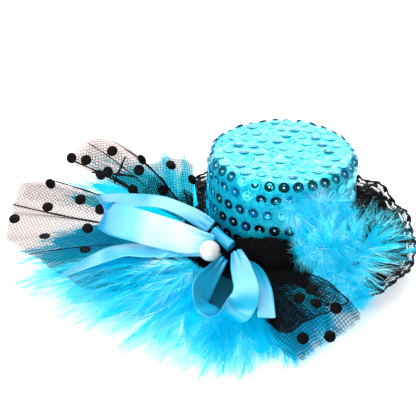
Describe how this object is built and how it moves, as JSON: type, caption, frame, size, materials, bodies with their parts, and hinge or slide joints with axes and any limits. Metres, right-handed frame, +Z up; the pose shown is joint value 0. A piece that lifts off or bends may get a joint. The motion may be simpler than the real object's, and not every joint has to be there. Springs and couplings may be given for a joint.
{
  "type": "mini hat hair clip",
  "caption": "Small sequin-cloth top hat on a flat hair clip, trimmed with a lace frill, dotted net fans, feathers and a satin bow with a pearl; worn in the hair.",
  "frame": {"origin": "middle of the hair clip's lower face, on the crown's axis, at the level of the surface that the hat rests on", "axes": "+X along the clip, to the right as the trimmed front is seen; +Y to the plain back; +Z up along the crown's axis"},
  "size_m": [0.1979, 0.1725, 0.056],
  "materials": {
    "clip_steel": "satin",
    "sequin_cloth": "shiny",
    "lace": "matte",
    "net": "matte",
    "feather": "matte",
    "satin": "satin",
    "pearl": "gloss"
  },
  "bodies": {
    "root": {"hair_clip": "clip_steel", "brim": "sequin_cloth", "crown": "sequin_cloth", "lace_frill": "lace", "net_gather": "net", "net_fan_upper": "net", "net_fan_lower": "net", "net_tail": "net", "feather_front": "feather", "feather_back": "feather", "feather_side": "feather", "ribbon_loop_left": "satin", "ribbon_loop_right": "satin", "ribbon_tail_left": "satin", "ribbon_tail_right": "satin", "ribbon_knot": "satin", "pearl": "pearl"}
  },
  "joints": []
}
